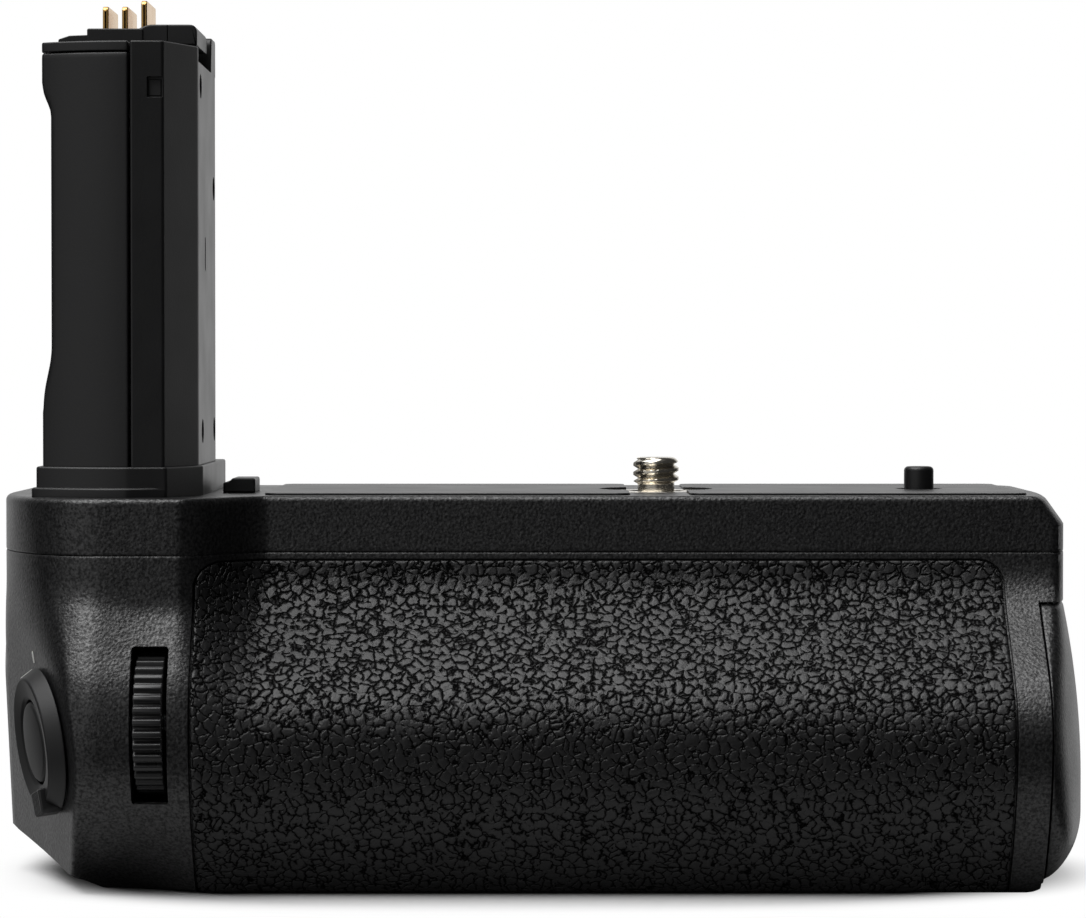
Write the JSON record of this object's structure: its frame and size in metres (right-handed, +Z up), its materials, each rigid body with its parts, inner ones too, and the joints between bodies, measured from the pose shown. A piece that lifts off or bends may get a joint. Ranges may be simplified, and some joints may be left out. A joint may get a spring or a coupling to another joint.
{
  "type": "camera battery grip",
  "caption": "Vertical battery grip for a camera: contoured rubber body, battery-bay stalk with contacts, attachment screw and wheel, dials, shutter button and a slide-out tray.",
  "frame": {"origin": "mouth of the tripod socket, in the base plane", "axes": "+Z up through the camera screw, +X towards the tray end, -Y the finger side"},
  "size_m": [0.1468, 0.0791, 0.1189],
  "materials": {
    "shell_plastic": "fine grained satin",
    "grip_rubber": "pebbled",
    "stalk_plastic": "satin",
    "control_plastic": "satin",
    "inner_plastic": "plain moulded",
    "gold_contact": "gold plated",
    "screw_steel": "nickel plated",
    "black_screw": "blackened",
    "pin_steel": "ground",
    "bracket_alloy": "stamped",
    "gear_brass": "cut",
    "board_laminate": "solder mask",
    "ribbon_film": "film",
    "battery_case": "plain moulded"
  },
  "bodies": {
    "grip_body": {"upper_shell": "shell_plastic", "lower_shell": "shell_plastic", "front_grip_rubber": "grip_rubber", "rear_grip_rubber": "grip_rubber", "seat_pads": "grip_rubber", "seat_key": "stalk_plastic", "locating_pin": "stalk_plastic", "screw_bush": "screw_steel", "tripod_socket": "screw_steel", "case_screws": "black_screw", "stalk_collar": "stalk_plastic", "stalk_frame": "stalk_plastic", "stalk_cover": "stalk_plastic", "stalk_cap": "stalk_plastic", "contact_block": "stalk_plastic", "contact_blades": "gold_contact", "stalk_screws": "black_screw", "stalk_ribbon": "ribbon_film", "main_board": "board_laminate", "battery_chamber": "inner_plastic", "chamber_terminals": "gold_contact", "gear_bracket": "bracket_alloy", "wheel_axle": "pin_steel", "shutter_housing": "inner_plastic", "shutter_switch": "inner_plastic", "front_dial_carrier": "inner_plastic", "front_dial_axle": "pin_steel", "rear_dial_carrier": "inner_plastic", "rear_dial_axle": "pin_steel", "rear_board": "board_laminate", "rear_switches": "inner_plastic", "joystick_socket": "inner_plastic"},
    "wheel": {"attachment_wheel": "control_plastic"},
    "camera_screw": {"attachment_screw": "screw_steel", "screw_gear": "gear_brass"},
    "shutter_button": {"shutter_button": "control_plastic"},
    "shutter_lock": {"shutter_lock_ring": "control_plastic"},
    "front_dial": {"front_dial": "control_plastic"},
    "rear_dial": {"rear_dial": "control_plastic"},
    "focus_button": {"focus_button": "control_plastic"},
    "function_button": {"function_button": "control_plastic"},
    "stick_gimbal": {"joystick_gimbal": "pin_steel"},
    "stick": {"joystick": "control_plastic"},
    "tray": {"tray_frame": "inner_plastic", "tray_end_cap": "shell_plastic", "tray_gasket": "grip_rubber", "tray_contacts": "gold_contact", "battery_1": "battery_case", "battery_2": "battery_case"},
    "latch": {"tray_latch": "control_plastic"}
  },
  "joints": [
    {"name": "wheel_turn", "type": "hinge", "parent": "grip_body", "child": "wheel", "pos_m": [0, 0.0185, 0.04], "axis": [0, 0, 1], "continuous": true},
    {"name": "screw_turn", "type": "hinge", "parent": "grip_body", "child": "camera_screw", "pos_m": [0, 0, 0.046], "axis": [0, 0, 1], "continuous": true},
    {"name": "shutter_press", "type": "slide", "parent": "grip_body", "child": "shutter_button", "axis": [0.9266, 0.3557, 0.1219], "range_m": [0, 0.001], "stiffness_N_per_m": 400, "springref_m": -0.0003},
    {"name": "lock_turn", "type": "hinge", "parent": "grip_body", "child": "shutter_lock", "pos_m": [-0.0809, -0.0295, 0.0202], "axis": [-0.9266, -0.3557, -0.1219], "range_deg": [-40, 0]},
    {"name": "front_dial_turn", "type": "hinge", "parent": "grip_body", "child": "front_dial", "pos_m": [-0.0666, -0.0341, 0.0229], "axis": [1, 0, 0], "continuous": true},
    {"name": "rear_dial_turn", "type": "hinge", "parent": "grip_body", "child": "rear_dial", "pos_m": [-0.074, 0.0274, 0.03], "axis": [1, 0, 0], "continuous": true},
    {"name": "focus_press", "type": "slide", "parent": "grip_body", "child": "focus_button", "axis": [0, -1, 0], "range_m": [0, 0.001], "stiffness_N_per_m": 400, "springref_m": -0.0003},
    {"name": "function_press", "type": "slide", "parent": "grip_body", "child": "function_button", "axis": [0, -1, 0], "range_m": [0, 0.001], "stiffness_N_per_m": 400, "springref_m": -0.0003},
    {"name": "stick_tilt_updown", "type": "hinge", "parent": "grip_body", "child": "stick_gimbal", "pos_m": [-0.05, 0.0286, 0.02], "axis": [1, 0, 0], "range_deg": [-9, 9], "stiffness_Nm_per_rad": 0.03},
    {"name": "stick_tilt_sideways", "type": "hinge", "parent": "stick_gimbal", "child": "stick", "pos_m": [-0.05, 0.0286, 0.02], "axis": [0, 0, 1], "range_deg": [-9, 9], "stiffness_Nm_per_rad": 0.03},
    {"name": "tray_slide", "type": "slide", "parent": "grip_body", "child": "tray", "axis": [1, 0, 0], "range_m": [0, 0.092]},
    {"name": "latch_turn", "type": "hinge", "parent": "tray", "child": "latch", "pos_m": [0.054, 0, 0.0335], "axis": [1, 0, 0], "range_deg": [0, 90]}
  ],
  "couplings": [
    {"joint": "screw_turn", "follows": "wheel_turn", "ratio": -0.48}
  ]
}
